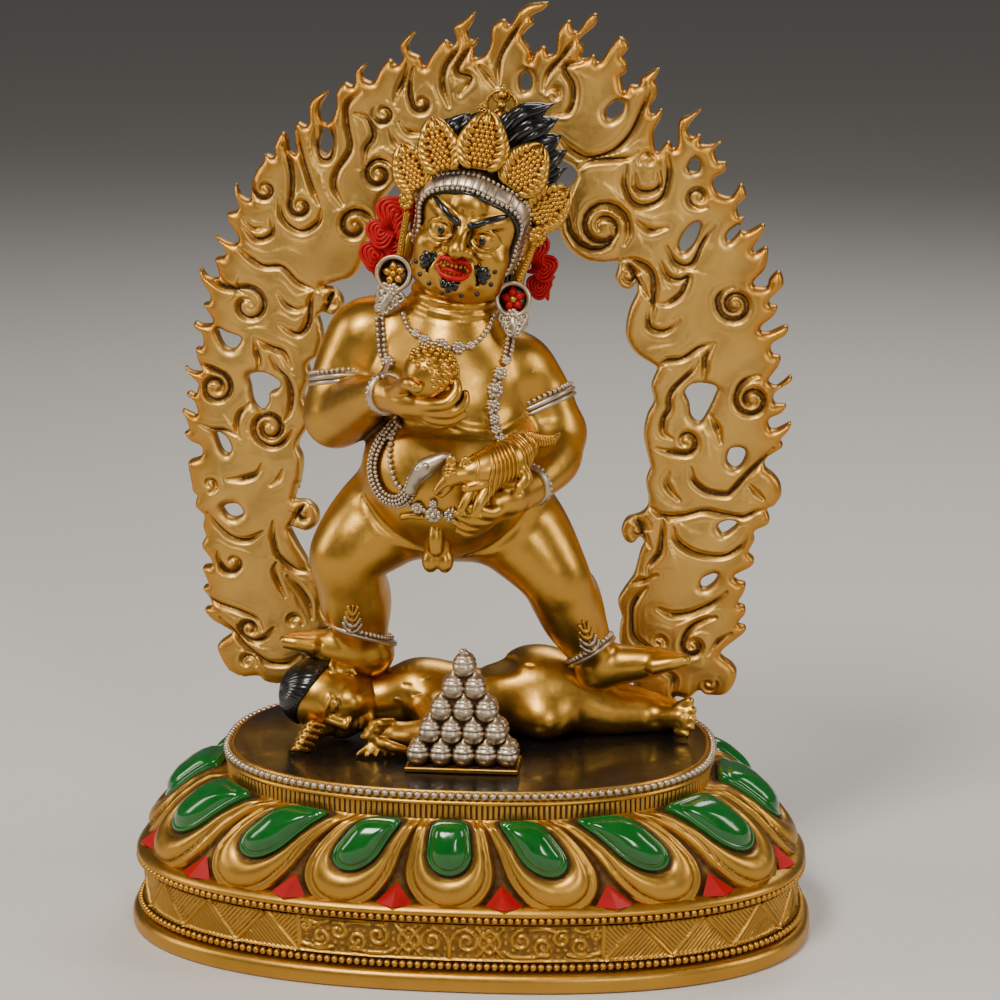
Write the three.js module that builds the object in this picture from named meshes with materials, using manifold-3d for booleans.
// A cast and painted metal figure of black Jambhala, 33 cm tall, in five castings:
// a lotus base, the figure lying on it, a heap of jewels, the standing figure and the
// ring of flames behind them. Millimetres, +Z up, the front faces -Y, and the origin is
// at the middle of the underside of the base.
import * as THREE from "three";
import { mergeVertices } from "three/addons/utils/BufferGeometryUtils.js";
import Module from "manifold-3d";

const wasm = await Module();
wasm.setup();

// Clear space between castings that rest on each other
const GAP = 0.3;

// Lotus base: half widths and heights of its rounded oblong steps
const PLAN_POWER = 2.4;
const FOOT = { a: 125, b: 75, top: 6.5 };
const BAND = { inset: 5.4, low: 10.5, high: 23.6 };
const LEDGE = { inset: 2.8, low: 25, top: 28.6 };
const LOTUS = { a: 118, b: 69, z: 27 };
const WALL = { a: 88.5, b: 61.2, low: 57, high: 64.5 };
const PLATFORM_Z = 68.5;
const PETALS = 16;
const PETAL = { pitch: 34.4, run: 34, lobe: 15.4, centre: 15.6, rise: 2.2, roll: 1.6, lean: 9 };
const STONE = { half: 7.2, length: 12, rise: 3.6, at: 0.5 };
const RED_TIP = { half: 6, length: 5, rise: 3.4, at: 0.1 };

// Ring of flames, drawn in its own upright plane
const RING = { y: 40, thick: 4.6 };
const COIL = { proud: 1.2, half: 1.5 };

const material = (color, roughness, metalness) =>
  new THREE.MeshStandardMaterial({ color, roughness, metalness });
const GOLD = material(0xb8892f, 0.35, 1);
const PALE_GOLD = material(0xd2a951, 0.45, 0.9);
const SILVER = material(0xa09a90, 0.35, 1);

const UP = new THREE.Vector3(0, 0, 1);
const vec = (p) => new THREE.Vector3(p[0], p[1], p[2]);
const radians = THREE.MathUtils.degToRad;

// Closed geometry to a solid that can be joined and cut
function solidOf(geometry) {
  const bare = geometry.clone();
  bare.deleteAttribute("normal");
  bare.deleteAttribute("uv");
  const merged = mergeVertices(bare, 1e-4);
  const index = merged.index.array;
  const kept = [];
  for (let i = 0; i < index.length; i += 3) {
    const [a, b, c] = [index[i], index[i + 1], index[i + 2]];
    if (a !== b && b !== c && c !== a) kept.push(a, b, c);
  }
  return new wasm.Manifold(
    new wasm.Mesh({
      numProp: 3,
      vertProperties: merged.attributes.position.array,
      triVerts: new Uint32Array(kept),
    }),
  );
}

function geometryOf(solid) {
  const mesh = solid.getMesh();
  const position = new Float32Array(mesh.numVert * 3);
  for (let i = 0; i < mesh.numVert; i++) {
    const start = i * mesh.numProp;
    position.set(mesh.vertProperties.subarray(start, start + 3), i * 3);
  }
  const geometry = new THREE.BufferGeometry();
  geometry.setAttribute("position", new THREE.BufferAttribute(position, 3));
  geometry.setIndex(new THREE.BufferAttribute(mesh.triVerts, 1));
  geometry.computeVertexNormals();
  return geometry;
}

const fuse = (solids) => solids.reduce((all, one) => all.add(one));

function casting(name, solid, finish) {
  const mesh = new THREE.Mesh(geometryOf(solid), finish);
  mesh.name = name;
  return mesh;
}

// Skin over rings of points, closed by a fan to a point at each end
function skin(rings, first, last) {
  const count = rings[0].length;
  const position = [...rings.flat(), first, last].flatMap((p) => [p.x, p.y, p.z]);
  const index = [];
  for (let i = 0; i < rings.length - 1; i++) {
    for (let j = 0; j < count; j++) {
      const [a, b] = [i * count + j, i * count + ((j + 1) % count)];
      index.push(a, b, b + count, a, b + count, a + count);
    }
  }
  const low = rings.length * count;
  const top = low - count;
  for (let j = 0; j < count; j++) {
    const k = (j + 1) % count;
    index.push(low, k, j, low + 1, top + j, top + k);
  }
  const g = new THREE.BufferGeometry();
  g.setAttribute("position", new THREE.BufferAttribute(new Float32Array(position), 3));
  g.setIndex(index);
  return solidOf(g);
}

// Ellipsoid whose own Z axis points along `along`
function egg(centre, radii, along = [0, 0, 1], sides = 8, rows = 5) {
  const g = new THREE.SphereGeometry(1, sides, rows);
  g.rotateX(Math.PI / 2);
  g.scale(radii[0], radii[1], radii[2]);
  g.applyQuaternion(new THREE.Quaternion().setFromUnitVectors(UP, vec(along).normalize()));
  g.translate(centre[0], centre[1], centre[2]);
  return solidOf(g);
}

// Round-ended tube through points written [x, y, z, radius]
function tube(points, sides = 6, grow = 0, endRings = true) {
  const centres = points.map(vec);
  const radius = points.map((p) => p[3] + grow);
  const last = points.length - 1;
  const tangents = centres.map((_, i) =>
    centres[Math.min(last, i + 1)].clone().sub(centres[Math.max(0, i - 1)]).normalize(),
  );
  let side = Math.abs(tangents[0].y) < 0.9 ? new THREE.Vector3(0, 1, 0) : UP.clone();
  const ringAt = (centre, tangent, r) => {
    side = side.clone().addScaledVector(tangent, -side.dot(tangent)).normalize();
    const other = tangent.clone().cross(side);
    return Array.from({ length: sides }, (_, j) => {
      const turn = (2 * Math.PI * (j + 0.5)) / sides;
      const out = side.clone().multiplyScalar(Math.cos(turn) * r);
      return out.addScaledVector(other, Math.sin(turn) * r).add(centre);
    });
  };
  const beyond = (i, share) => centres[i].clone().addScaledVector(tangents[i], share * radius[i]);
  const rings = [];
  if (endRings) rings.push(ringAt(beyond(0, -0.7), tangents[0], radius[0] * 0.7));
  centres.forEach((c, i) => rings.push(ringAt(c, tangents[i], radius[i])));
  if (endRings) rings.push(ringAt(beyond(last, 0.7), tangents[last], radius[last] * 0.7));
  return skin(rings, beyond(0, -1), beyond(last, 1));
}

const thread = (points, sides = 4) => tube(points, sides, 0, false);

function block(x0, x1, y0, y1, z0, z1) {
  const g = new THREE.BoxGeometry(x1 - x0, y1 - y0, z1 - z0);
  g.translate((x0 + x1) / 2, (y0 + y1) / 2, (z0 + z1) / 2);
  return solidOf(g);
}

// Point on a rounded oblong at a share of its way round, from the front middle towards +X
function planCurve(a, b) {
  const steps = 480;
  const soft = (v) => Math.sign(v) * Math.abs(v) ** (2 / PLAN_POWER);
  const points = [];
  const run = [0];
  for (let i = 0; i <= steps; i++) {
    const t = -Math.PI / 2 + (2 * Math.PI * i) / steps;
    points.push([a * soft(Math.cos(t)), b * soft(Math.sin(t))]);
    if (i) {
      const [p, q] = [points[i - 1], points[i]];
      run.push(run[i - 1] + Math.hypot(q[0] - p[0], q[1] - p[1]));
    }
  }
  return (share) => {
    const wanted = (((share % 1) + 1) % 1) * run[steps];
    let i = 1;
    while (i < steps && run[i] < wanted) i++;
    const k = (wanted - run[i - 1]) / (run[i] - run[i - 1]);
    return points[i - 1].map((v, axis) => v + (points[i][axis] - v) * k);
  };
}

const oblong = (a, b, z, columns) => {
  const curve = planCurve(a, b);
  return Array.from({ length: columns }, (_, j) => vec([...curve(j / columns), z]));
};

function step(levels, columns) {
  const rings = levels.map(([a, b, z]) => oblong(a, b, z, columns));
  return skin(rings, vec([0, 0, levels[0][2]]), vec([0, 0, levels.at(-1)[2]]));
}

// The lotus slope: u runs from 0 at its foot to 1 where it meets the wall
const slopeCurves = new Map();
function slopeCurve(u) {
  const key = Math.round(u * 1000) / 1000;
  if (!slopeCurves.has(key)) {
    const inwards = 0.5 * (1 - Math.cos((key * Math.PI) / 2)) + 0.5 * key;
    const a = LOTUS.a + (WALL.a - LOTUS.a) * inwards;
    const b = LOTUS.b + (WALL.b - LOTUS.b) * inwards;
    slopeCurves.set(key, planCurve(a, b));
  }
  return slopeCurves.get(key);
}
const slopeHeight = (u) => 0.5 * Math.sin((u * Math.PI) / 2) + 0.5 * u;

const slopePoint = (share, u) =>
  vec([...slopeCurve(u)(share), LOTUS.z + (WALL.low + 1 - LOTUS.z) * slopeHeight(u)]);

function slopeNormal(share, u) {
  const along = slopePoint(share + 0.004, u).sub(slopePoint(share - 0.004, u));
  const low = slopePoint(share, Math.max(0, u - 0.05));
  const up = slopePoint(share, Math.min(1, u + 0.05)).sub(low);
  return along.cross(up).normalize();
}

// Sideways lean of the petals' lines, towards the front middle at their tops
const leant = (share, u) =>
  share - (PETAL.lean * Math.sin(4 * Math.PI * share) * u * u) / (PETALS * PETAL.pitch);

// Height over the slope: round lobes with a rolled edge, each with a stone, and between
// two of them the faceted red tip of a petal behind
function petalRise(share, u) {
  const nearest = Math.round(share * PETALS);
  const up = u * PETAL.run;
  let best = -1e3;
  let set = 0;
  for (const k of [nearest - 1, nearest, nearest + 1]) {
    const across = (share * PETALS - k) * PETAL.pitch;
    best = Math.max(best, PETAL.lobe - Math.hypot(across, Math.min(0, up - PETAL.centre)));
    const along = up - STONE.at * PETAL.run;
    set = Math.max(set, 1 - (across / STONE.half) ** 2 - (along / STONE.length) ** 2);
  }
  const between = (share * PETALS - Math.floor(share * PETALS) - 0.5) * PETAL.pitch;
  const over = (up - RED_TIP.at * PETAL.run) / RED_TIP.length;
  const tip = RED_TIP.rise * Math.max(0, 1 - Math.abs(between / RED_TIP.half) - Math.abs(over));
  const rise = THREE.MathUtils.smoothstep(best, -1, 1.4) * PETAL.rise;
  const roll = Math.exp(-(((best - 6) / 3.2) ** 2)) * PETAL.roll;
  return (rise + roll) * (1 - u ** 5) + STONE.rise * Math.sqrt(Math.max(0, set)) + tip;
}

function lotusBase() {
  const rim = (inset, z) => [FOOT.a - inset, FOOT.b - inset, z];
  const foot = [rim(0.8, 0), rim(0, 1.6), rim(0.2, FOOT.top), rim(1.8, 9.2)];
  const band = [rim(BAND.inset, BAND.low), rim(BAND.inset, BAND.high)];
  const ledge = [rim(LEDGE.inset, LEDGE.low), rim(LEDGE.inset + 0.4, LEDGE.top)];
  const wall = [[WALL.a, WALL.b, WALL.low - 3], [WALL.a, WALL.b, WALL.high]];
  const shelf = [[WALL.a + 1.4, WALL.b + 1.4, 66], [WALL.a + 0.2, WALL.b + 0.2, PLATFORM_Z]];
  const columns = PETALS * 6;
  const slope = [0, 0.1, 0.27, 0.5, 0.73, 1].map((u) =>
    Array.from({ length: columns }, (_, j) => {
      const share = leant(j / columns, u);
      const rise = petalRise(j / columns, u);
      return slopePoint(share, u).addScaledVector(slopeNormal(share, u), rise);
    }),
  );
  slope[0].forEach((p) => (p.z = LOTUS.z));
  slope.at(-1).forEach((p) => (p.z = WALL.low + 1));
  const lotus = skin(slope, vec([0, 0, LOTUS.z]), vec([0, 0, WALL.low + 1]));
  return fuse([step([...foot, ...band, ...ledge], 36), lotus, step([...wall, ...shelf], 36)]);
}

// Lying figure, on its belly, head to the left and turned to the front
function lyingFigure(grow = 0) {
  const r = (...radii) => radii.map((v) => v + grow);
  const body = [
    [-34, 5, 81, 9], [-25, 7, 82, 11], [-15, 9, 82.5, 13], [4, 11, 80, 11.4], [16, 12, 82.5, 15.4],
    [27, 13, 84, 16], [38, 13, 80, 12], [50, 13, 76, 9], [60, 15, 75, 8], [69, 15.5, 74, 5.6],
    [77, 10, 76, 4.4],
  ];
  const parts = [
    egg([-46, 3, 82], r(17.4, 14, 14), [0.3, 0, 1], 8, 6),
    tube([[-61, 1, 81, 11], [-66, -4, 74, 6.4]], 6, grow),
    tube(body, 8, grow),
    egg([27, 1, 76], r(10, 9, 8), [0, 0, 1], 6, 4),
    tube([[30, 21, 81, 11], [52, 25, 76, 8], [70, 24, 73.5, 5.4]], 6, grow, false),
    tube([[78.5, 8.5, 81, 2.6], [79.5, 7, 71, 2.4]], 4, grow, false),
    tube([[-14, -2, 80, 8], [-11, -15, 75, 6.8], [-26, -19.5, 75.5, 5]], 6, grow, false),
    egg([-27, -22.5, 72.4], r(8.6, 5.4, 5.4), [0, 0, 1], 6, 4),
    tube([[-49, -5, 76, 6], [-53, -18, 74, 5.4]], 5, grow, false),
    egg([-55.5, -22.5, 74], r(8, 5.6, 7), [0, 0, 1], 6, 4),
  ];
  return fuse(parts).subtract(block(-130, 130, -90, 90, -10, PLATFORM_Z + GAP));
}

// Heap of ringed jewels, five in the lowest row and one at the top
const HEAP = { x: 1.2, y: -36, rows: 5, across: 7.7, up: 8.1, back: 1.7, r: 4.3 };

function jewel(x, y, z) {
  const { r } = HEAP;
  const profile = [[0, -r], [0.9 * r, -0.6 * r], [r, 0.4 * r], [0, 1.25 * r]];
  const g = new THREE.LatheGeometry(profile.map(([a, b]) => new THREE.Vector2(a, b)), 5);
  g.rotateX(Math.PI / 2);
  g.translate(x, y, z);
  return solidOf(g);
}

function jewelHeap() {
  const { x, y, rows, across, up, back, r } = HEAP;
  const floor = PLATFORM_Z + GAP;
  const parts = [block(x - 20, x + 20, y - 5.5, y + 12, floor, floor + 1.4)];
  const wedge = new THREE.Shape();
  wedge.moveTo(-18, 1);
  wedge.lineTo(18, 1);
  wedge.lineTo(1, rows * up - 3);
  wedge.lineTo(-1, rows * up - 3);
  const core = new THREE.ExtrudeGeometry(wedge, { depth: 8, bevelEnabled: false });
  core.rotateX(Math.PI / 2);
  core.translate(x, y + 9.6, floor);
  parts.push(solidOf(core));
  for (let row = 0; row < rows; row++) {
    for (let i = 0; i < rows - row; i++) {
      const cx = x + (i - (rows - row - 1) / 2) * across;
      parts.push(jewel(cx, y + row * back, floor + 0.8 + r + row * up));
    }
  }
  const top = floor + rows * up;
  parts.push(thread([[x, y + 7, top, 2], [x - 1.6, y + 6.4, top + 3, 0.8]]));
  return fuse(parts);
}

// The head's top leans to the right
const HEAD_UP = [0.24, 0.02, 0.97];

function trunk() {
  return [
    thread([[-7, 1, 218, 18], [-6, -1, 208, 22.5], [-5, -3, 190, 24], [-6, 0, 160, 24]], 10),
    egg([-4, -8.5, 170.5], [33.5, 29.5, 28.5], [0, 0.1, 1], 11, 7),
  ];
}

function arms() {
  return [
    thread([[-14, 1, 213, 15], [-35, 1, 218, 13.6], [-42.5, -2, 205, 12.4], [-47, -5, 190, 11]], 7),
    thread([[-47, -6, 188, 10], [-38, -18, 195, 9.4], [-26, -36, 203, 6.6], [-17, -43, 203.5, 5]], 6),
    thread([[2, 2, 209, 15], [20, 3, 209, 13.2], [28, 4, 198, 12.2], [34, 4, 181, 11]], 7),
    thread([[34, 4, 180, 10], [31, -8, 175, 9], [26, -24, 170, 6.6], [18, -37, 166, 5]], 6),
  ];
}

function legs() {
  const left = [
    [-18, 3, 160, 20.6], [-32, -3, 150, 18], [-42, -11, 140, 14], [-42, -8, 128, 13.4],
    [-41, -4, 119, 12.4], [-38.5, 1, 107, 8.6], [-37.5, 3, 101, 8.4],
  ];
  const right = [
    [6, 3, 158, 20.2], [19, -2, 147, 17.2], [30, -6, 134, 13], [34, -3, 124, 12.4],
    [37.5, 0, 115, 11], [43.5, 7, 101, 8.6], [46, 9, 94, 8.4],
  ];
  const feet = [
    [[-36, 3, 99, 7.4], [-48, 0, 101, 6.4], [-60, -2, 103.5, 4], [-65, -3, 105, 2.6]],
    [[45, 10, 92.5, 7.8], [56, 8, 94.5, 6.8], [68, 6.5, 97.5, 4], [75, 5.5, 99, 2.4]],
  ];
  return [thread(left, 8), thread(right, 8), ...feet.map((foot) => thread(foot, 6))];
}

// Fingers run from the palm to each tip
const fingers = (palm, tips) => tips.map((tip) => thread([[...palm, 3.4], [...tip, 2.4]]));

function handsAndGifts() {
  return [
    ...fingers([-14, -45, 203], [[0, -53, 199.5], [3, -51.5, 203], [-8, -55, 211]]),
    egg([-4.5, -47, 213.5], [10, 10, 9.4], [0.3, 0, 1], 7, 5),
    ...fingers([17, -39, 165.5], [[3.5, -47.5, 159.5], [7, -50, 163], [11, -51, 171]]),
    tube([[20, -37, 186, 5.4], [13, -43, 178, 8], [9, -45, 166, 3.6]], 6),
    thread([[12, -44, 179, 6], [4, -47, 181, 5.8], [-3, -47, 175, 3.4], [-6, -46.5, 171, 2]], 5),
    thread([[17, -38, 185, 4], [24, -30, 187.5, 2.6], [31, -20, 183, 1.8]]),
  ];
}

// Leaf of the crown: a pointed oval plate set by its middle, lean and size
function crownLeaf(x, y, z, lean, size) {
  const outline = new THREE.Shape();
  outline.moveTo(0, -9);
  outline.lineTo(6.6, -1);
  outline.lineTo(5, 5);
  outline.lineTo(0, 11);
  outline.lineTo(-5, 5);
  outline.lineTo(-6.6, -1);
  const g = new THREE.ExtrudeGeometry(outline, { depth: 4, bevelEnabled: false });
  g.translate(0, 0, -2);
  g.rotateX(Math.PI / 2);
  g.scale(size, 1, size);
  g.rotateY(radians(lean));
  g.translate(x, y, z);
  return solidOf(g);
}

function headAndCrown() {
  const tips = [[27, 8, 298], [34, 6, 272], [-6, 6, 294]];
  const hair = tips.map((tip) => thread([[13, 7, 274, 13], [...tip, 3]], 5));
  const band = [
    [-19, -1, 249, 3.4], [-17, -8, 263, 3.4], [-6, -16, 275, 3.4], [5, -17, 277.5, 3.4],
    [17, -9, 270, 3.4], [21.5, 1, 249, 3.4],
  ];
  return [
    thread([[-7, 0, 218, 17], [-5, -2, 236, 15]], 8),
    egg([0.5, -4, 254], [18.8, 19, 24.4], HEAD_UP, 9, 6),
    egg([-3.5, -12, 240.5], [15, 13, 11], HEAD_UP, 8, 5),
    egg([-1.5, -23, 254.5], [3.8, 5, 5], HEAD_UP, 5, 3),
    egg([-3, -22.5, 244.5], [7.4, 4, 4], [0, 0, 1], 6, 3),
    thread(band),
    crownLeaf(-15, -9, 274, -22, 0.9),
    crownLeaf(-6.5, -14, 285, -8, 0.95),
    crownLeaf(9, -15, 286.5, 8, 1.05),
    crownLeaf(21, -7, 278, 34, 0.9),
    crownLeaf(25, 1, 266, 56, 0.9),
    ...hair,
    thread([[11, 1, 286, 3.4], [11.5, 0, 298, 5], [12, 0, 303, 3]], 5),
  ];
}

// Ear hoop with its leaf pendant: middle of the hoop, the ear it hangs from, the leaf's end
function earring(hoop, ear, leafEnd) {
  const g = new THREE.TorusGeometry(5.2, 1.7, 3, 7);
  g.rotateX(Math.PI / 2);
  g.translate(...hoop);
  const [x, y, z] = hoop;
  return [
    solidOf(g),
    thread([[...ear, 4], [x, y + 0.4, z + 5.2, 2.4]]),
    thread([[x, y, z - 4, 3], [(x + leafEnd[0]) / 2, y, z - 8, 5], [...leafEnd, 2.6]]),
  ];
}

function ornaments() {
  const ribbonLeft = [[-16, 1, 263, 4.6], [-31, 3, 257, 5.4], [-28, 3, 249, 4.4], [-35, 3, 242, 5]];
  const ribbonRight = [[16, 2, 253, 4], [28, 6, 251, 5.4], [25, 6, 242, 4.4], [28, 6, 233, 5]];
  const snake = [
    [-21, -29, 193, 3], [-30, -26, 182, 3.6], [-34.5, -25, 171, 3.8], [-29, -29, 162, 3.8],
    [-20, -34, 165, 3.6], [-13, -37, 173, 3.2], [-8, -38, 179.5, 4], [-2, -38, 181.5, 2.4],
  ];
  return [
    ...earring([-25.5, -8, 241], [-14, -2, 247], [-31, -9, 226]),
    ...earring([16.5, -7, 232.5], [13, -3, 243], [17.5, -11, 219]),
    thread(ribbonLeft),
    thread(ribbonRight),
    thread([[-30.5, -8, 229, 3], [-24, -22, 203, 3]]),
    thread([[17, -9, 222, 3], [11, -22, 200, 3.4], [15, -31, 186, 3]]),
    thread([[-21, -11, 230, 2.6], [-12, -18, 219, 3], [-2, -19, 216, 3.4], [10, -12, 226, 2.6]]),
    thread(snake),
    thread([[-22, -29, 158, 3], [-8.5, -35, 159.5, 3.6], [4, -34.5, 160, 3]]),
    thread([[-8.5, -30, 154, 4], [-8.5, -21, 147, 4], [-8.8, -18, 143.5, 6]], 5),
  ];
}

function standingFigure() {
  const body = [...trunk(), ...arms(), ...legs(), ...handsAndGifts()];
  return fuse([...body, ...headAndCrown(), ...ornaments()]).subtract(lyingFigure(GAP));
}

// Edges of the ring's band from its left foot over the top to its right foot, each [x, z]
const INNER_EDGE = [
  [-57, 60], [-59, 110], [-69, 132], [-71, 160], [-65, 185], [-61, 207], [-55, 226], [-43, 246],
  [-31, 267], [-10, 282], [10, 284], [27, 277], [42, 260], [55, 238], [58, 215], [64, 197],
  [62, 165], [59, 145], [52, 112], [57, 60],
];
const OUTER_EDGE = [
  [-78, 60], [-94, 92], [-101, 125], [-105, 160], [-103, 195], [-98, 222], [-88, 246],
  [-73, 267], [-52, 286], [-25, 301], [0, 311], [24, 314], [47, 304], [70, 284], [88, 259],
  [101, 230], [106, 195], [104, 165], [98, 140], [91, 115], [90, 92], [80, 60],
];
// Tips of the outer flames in the same order, each [x, z]
const FLAME_TIPS = [
  [-106, 111], [-107, 131], [-109, 146], [-111, 160], [-113, 180], [-111, 197], [-107, 213],
  [-104, 234], [-99, 247], [-92, 265], [-73, 284], [-57, 299], [-42, 310], [-26, 320], [-4, 328],
  [23, 331], [40, 328], [53, 319], [65, 308], [78, 293], [89, 284], [95, 266], [103, 251],
  [109, 236], [111, 220], [114, 198], [113, 187], [114, 175], [107, 134], [101, 120], [99, 104],
];
// Scroll heads that swell out of the band's edges, each [x, z, radius]
const SCROLL_HEADS = [
  [-57, 222, 6], [-65, 142, 6.5], [51, 230, 7], [57, 139, 6.5], [42, 254, 14],
  [-88, 82, 12], [-94, 96, 9], [86, 84, 12], [90, 102, 10], [104, 153, 9],
];
// Raised coils, each [x, z, size, turns, hand, way the coil opens in degrees]
const COILS = [
  [-83, 250, 9, 1.2, 1, 60], [-50, 262, 11, 1.2, -1, 90], [-20, 291, 9, 1.2, 1, 110],
  [-86, 224, 9, 1.2, -1, 140], [-71, 178, 8, 1.2, 1, 80], [43, 254, 11, 1.4, -1, 60],
  [95, 202, 8, 1.2, 1, 20], [74, 163, 9, 1.2, -1, 100], [-88, 83, 8, 1.2, 1, 120],
  [86, 85, 8, 1.2, -1, 60],
];
// Openings cut right through, each [x, z, half length, half width, tilt in degrees]
const HOLES = [
  [-60, 272, 4.6, 2.4, 75], [-88, 211, 5.4, 2.6, -20], [-80, 194, 6, 4.6, 70],
  [-91, 173, 5, 2.6, -50], [-88, 152, 4.8, 2.6, -15], [20, 301, 4.4, 2.8, 75],
  [47, 288, 4.4, 3.2, 60], [70, 272, 4, 2.4, 80], [72, 247, 5.6, 3.2, 60],
  [87, 247, 4, 2.2, 50], [76, 190, 6, 4.6, 70], [87, 170, 4.4, 3.6, 60],
  [84, 145, 4.6, 2.6, 20], [78, 127, 4.8, 2.4, 50],
];

const smooth = (points, count) =>
  new THREE.SplineCurve(points.map(([x, z]) => new THREE.Vector2(x, z))).getSpacedPoints(count);

// Flat outline in X and Z to a plate whose middle lies at y
function plate(outline, depth, y) {
  const g = new THREE.ExtrudeGeometry(new THREE.Shape(outline), { depth, bevelEnabled: false });
  g.rotateX(Math.PI / 2);
  g.translate(0, y + depth / 2, 0);
  return solidOf(g);
}

// One flame: it grows out of the band, leans outwards and hooks at its tip
function flame([x, z]) {
  const high = THREE.MathUtils.smoothstep(z, 130, 300);
  const length = 14 + 16 * high;
  const half = 4.4 + 3.6 * high;
  const lean = radians((x / 113) * (72 - 30 * high) - 14 * high);
  const grow = new THREE.Vector2(Math.sin(lean), Math.cos(lean));
  const side = new THREE.Vector2(grow.y, -grow.x);
  const hook = high > 0.5 || x > 0 ? 1 : -1;
  const at = (t, s) => {
    const bend = s * half - hook * 0.4 * length * t * (1 - t);
    const along = grow.clone().multiplyScalar((t - 1) * length);
    return along.addScaledVector(side, bend).add(new THREE.Vector2(x, z));
  };
  const left = [at(0, -1.2), at(0.5, -0.85), at(1, 0)];
  return [...left, at(0.7, 0.15), at(0.35, 0.9), at(0, 1.2)].reverse();
}

function coil([x, z, size, turns, hand, opens]) {
  const steps = Math.round(turns * 5);
  const edge = (k, side) => {
    const share = k / steps;
    const angle = radians(opens) + hand * share * turns * 2 * Math.PI;
    const r = size * (1 - 0.8 * share) + side * COIL.half * (1 - 0.4 * share);
    return new THREE.Vector2(x + r * Math.cos(angle), z + r * Math.sin(angle));
  };
  const outline = [];
  for (let k = 0; k <= steps; k++) outline.push(edge(k, 1));
  for (let k = steps; k >= 0; k--) outline.push(edge(k, -1));
  return outline;
}

function ellipse(x, z, long, wide, tilt, sides) {
  const middle = new THREE.Vector2(x, z);
  return Array.from({ length: sides }, (_, j) => {
    const turn = (2 * Math.PI * j) / sides;
    const p = new THREE.Vector2(long * Math.cos(turn), wide * Math.sin(turn)).add(middle);
    return p.rotateAround(middle, radians(tilt));
  });
}

function flameRing() {
  const band = [...smooth(OUTER_EDGE, 24), ...smooth(INNER_EDGE, 30).reverse()];
  const parts = [band, ...FLAME_TIPS.map(flame)];
  parts.push(...SCROLL_HEADS.map(([x, z, r]) => ellipse(x, z, r, r, 0, 7)));
  let ring = fuse(parts.map((outline) => plate(outline, RING.thick, RING.y)));
  const cuts = HOLES.map((hole) => plate(ellipse(...hole, 5), 3 * RING.thick, RING.y));
  ring = ring.subtract(fuse(cuts));
  const face = RING.y - RING.thick / 2;
  const coils = COILS.map((one) => plate(coil(one), 2 * COIL.proud, face));
  ring = fuse([ring, ...coils]);
  return ring.subtract(block(-150, 150, 0, 80, 0, PLATFORM_Z + GAP));
}

const statue = new THREE.Group();
statue.add(
  casting("lotus_base", lotusBase(), GOLD),
  casting("lying_figure", lyingFigure(), GOLD),
  casting("jewel_heap", jewelHeap(), SILVER),
  casting("standing_figure", standingFigure(), GOLD),
  casting("flame_ring", flameRing(), PALE_GOLD),
);

export default statue;
